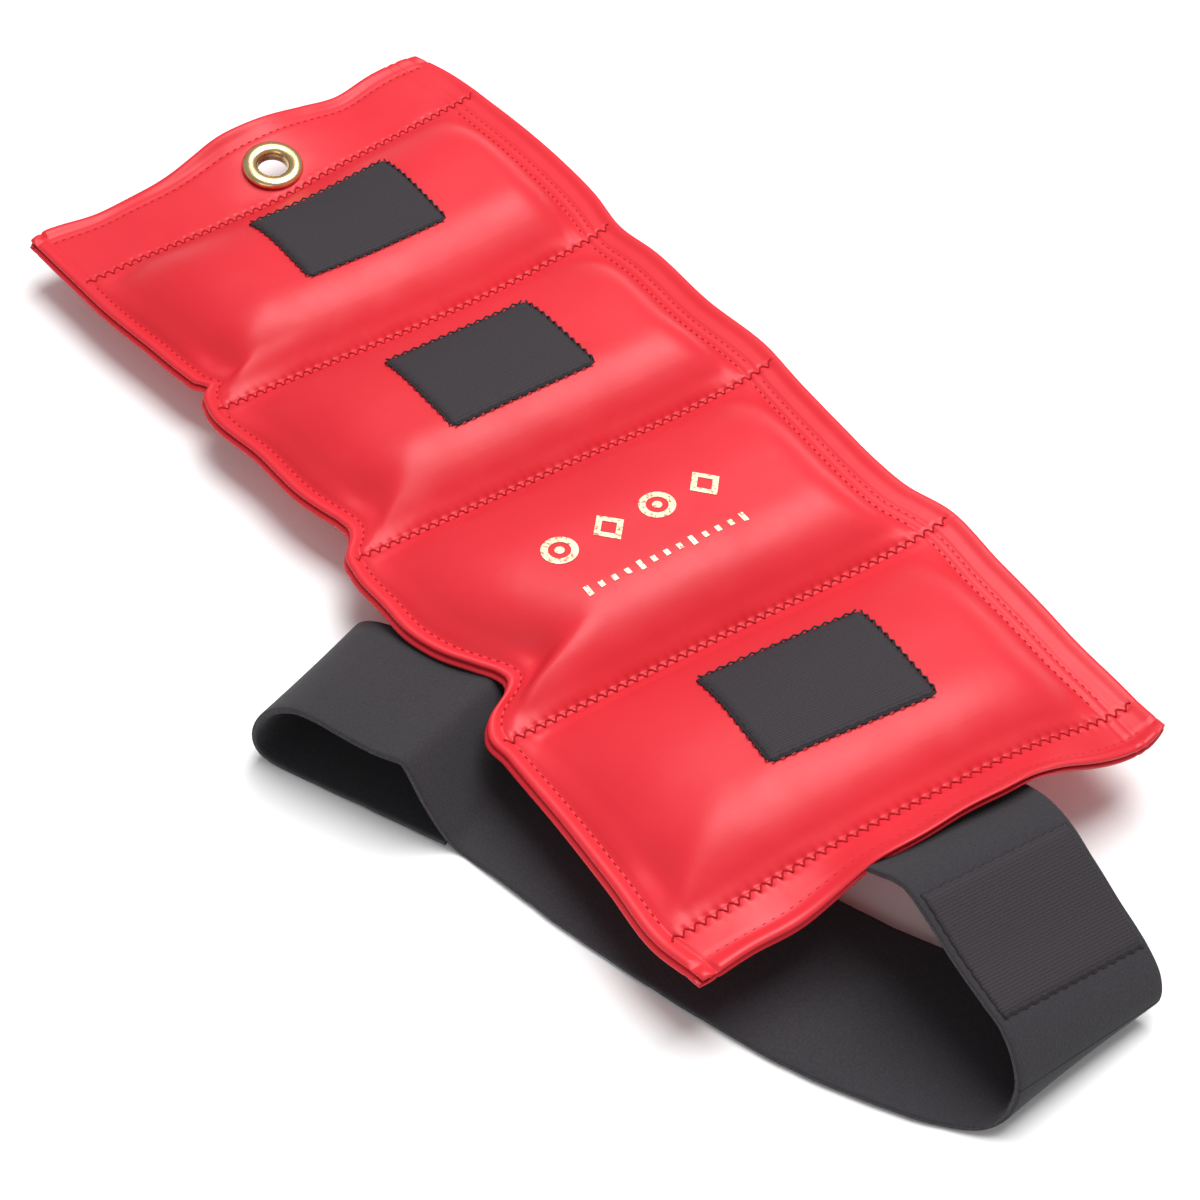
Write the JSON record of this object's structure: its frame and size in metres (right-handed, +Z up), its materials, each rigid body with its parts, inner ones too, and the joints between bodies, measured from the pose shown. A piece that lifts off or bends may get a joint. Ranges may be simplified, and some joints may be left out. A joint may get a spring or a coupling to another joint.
{
  "type": "ankle cuff weight",
  "caption": "Soft ankle cuff weight: shot-filled vinyl pockets joined by zigzag seams, hook tape patches, a brass grommet and a folded-back laminate strap.",
  "frame": {"origin": "bottom centre of the whole object's box", "axes": "+X along the cuff from the header to the tail, +Y across it, +Z up"},
  "size_m": [0.4508, 0.2104, 0.0426],
  "materials": {
    "vinyl": "glossy red vinyl-coated fabric with soft wrinkles",
    "thread": "dark red zigzag stitching",
    "shot": "loose steel shot",
    "brass": "polished pale brass",
    "hook_tape": "woven nylon hook tape, matt",
    "strap": "matt dark grey foam laminate faced with loop fabric"
  },
  "bodies": {
    "pocket_1": {"front_cover_1": "vinyl", "back_cover_1": "vinyl", "shot_fill_1": "shot", "hook_patch_1": "hook_tape", "seam_0": "thread"},
    "pocket_2": {"front_cover_2": "vinyl", "back_cover_2": "vinyl", "shot_fill_2": "shot", "hook_patch_2": "hook_tape", "seam_1": "thread"},
    "pocket_3": {"front_cover_3": "vinyl", "back_cover_3": "vinyl", "shot_fill_3": "shot", "seam_2": "thread", "seam_3": "thread"},
    "pocket_4": {"front_cover_4": "vinyl", "back_cover_4": "vinyl", "shot_fill_4": "shot", "hook_patch_4": "hook_tape", "seam_4": "thread"},
    "header": {"header_front_sheet": "vinyl", "header_back_sheet": "vinyl", "grommet_eyelet": "brass", "grommet_washer": "brass"},
    "tail": {"tail_front_sheet": "vinyl", "tail_back_sheet": "vinyl", "strap_root": "strap"},
    "strap_upper": {"strap_upper_run": "strap", "strap_hook_patch": "hook_tape"},
    "strap_bend": {"strap_bend": "strap"},
    "strap_floor_run": {"strap_floor_run": "strap"},
    "strap_rise": {"strap_rise": "strap"},
    "strap_top_run": {"strap_top_run": "strap"},
    "strap_fold": {"strap_fold": "strap"},
    "strap_free_end": {"strap_free_end": "strap"}
  },
  "joints": [
    {"name": "header_fold", "type": "hinge", "parent": "pocket_1", "child": "header", "pos_m": [-0.19094, 0.01718, 0.015], "axis": [0.0629, -0.998, 0], "range_deg": [-45, 75]},
    {"name": "seam_1_fold", "type": "hinge", "parent": "pocket_2", "child": "pocket_1", "pos_m": [-0.10794, 0.01718, 0.0155], "axis": [0.024, -0.9997, 0], "range_deg": [-60, 64]},
    {"name": "seam_2_fold", "type": "hinge", "parent": "pocket_3", "child": "pocket_2", "pos_m": [-0.02314, 0.01718, 0.0175], "axis": [-0.012, -0.9999, 0], "range_deg": [-60, 64]},
    {"name": "seam_3_fold", "type": "hinge", "parent": "pocket_3", "child": "pocket_4", "pos_m": [0.06286, 0.01718, 0.02], "axis": [0.025, 0.9997, 0], "range_deg": [0, 70]},
    {"name": "tail_fold", "type": "hinge", "parent": "pocket_4", "child": "tail", "pos_m": [0.14606, 0.01718, 0.027], "axis": [0.0489, 0.9988, 0], "range_deg": [-60, 0]},
    {"name": "strap_crest", "type": "hinge", "parent": "tail", "child": "strap_upper", "pos_m": [0.17506, 0.02218, 0.0383], "axis": [0, 0.9925, -0.1219], "range_deg": [-70, 0]},
    {"name": "strap_bend_top", "type": "hinge", "parent": "strap_upper", "child": "strap_bend", "pos_m": [0.21256, 0.02218, 0.0223], "axis": [0.0172, -0.9847, 0.1736], "range_deg": [0, 75]},
    {"name": "strap_bend_bottom", "type": "hinge", "parent": "strap_bend", "child": "strap_floor_run", "pos_m": [0.20906, 0.00568, 0.0011], "axis": [0.309, -0.9511, 0], "range_deg": [0, 75]},
    {"name": "strap_foot", "type": "hinge", "parent": "strap_floor_run", "child": "strap_rise", "pos_m": [0.06005, -0.05255, 0.0011], "axis": [0.4305, -0.9026, 0], "range_deg": [0, 50]},
    {"name": "strap_crease", "type": "hinge", "parent": "strap_rise", "child": "strap_top_run", "pos_m": [0.0447, -0.05987, 0.0214], "axis": [-0.4186, 0.8776, -0.2334], "range_deg": [0, 60]},
    {"name": "strap_fold_top", "type": "hinge", "parent": "strap_top_run", "child": "strap_fold", "pos_m": [0.01311, -0.07493, 0.0204], "axis": [-0.4138, 0.8676, -0.2756], "range_deg": [0, 85]},
    {"name": "strap_fold_bottom", "type": "hinge", "parent": "strap_fold", "child": "strap_free_end", "pos_m": [0.00589, -0.07838, 0.0011], "axis": [-0.4305, 0.9026, 0], "range_deg": [0, 85]}
  ],
  "couplings": [
    {"joint": "strap_crest", "follows": "seam_3_fold", "ratio": -1},
    {"joint": "strap_bend_bottom", "follows": "strap_bend_top", "ratio": 1},
    {"joint": "strap_foot", "follows": "strap_bend_top", "ratio": 0.66667},
    {"joint": "strap_crease", "follows": "strap_bend_top", "ratio": 0.8},
    {"joint": "strap_fold_top", "follows": "strap_bend_top", "ratio": 1.1333},
    {"joint": "strap_fold_bottom", "follows": "strap_bend_top", "ratio": 1.1333}
  ]
}
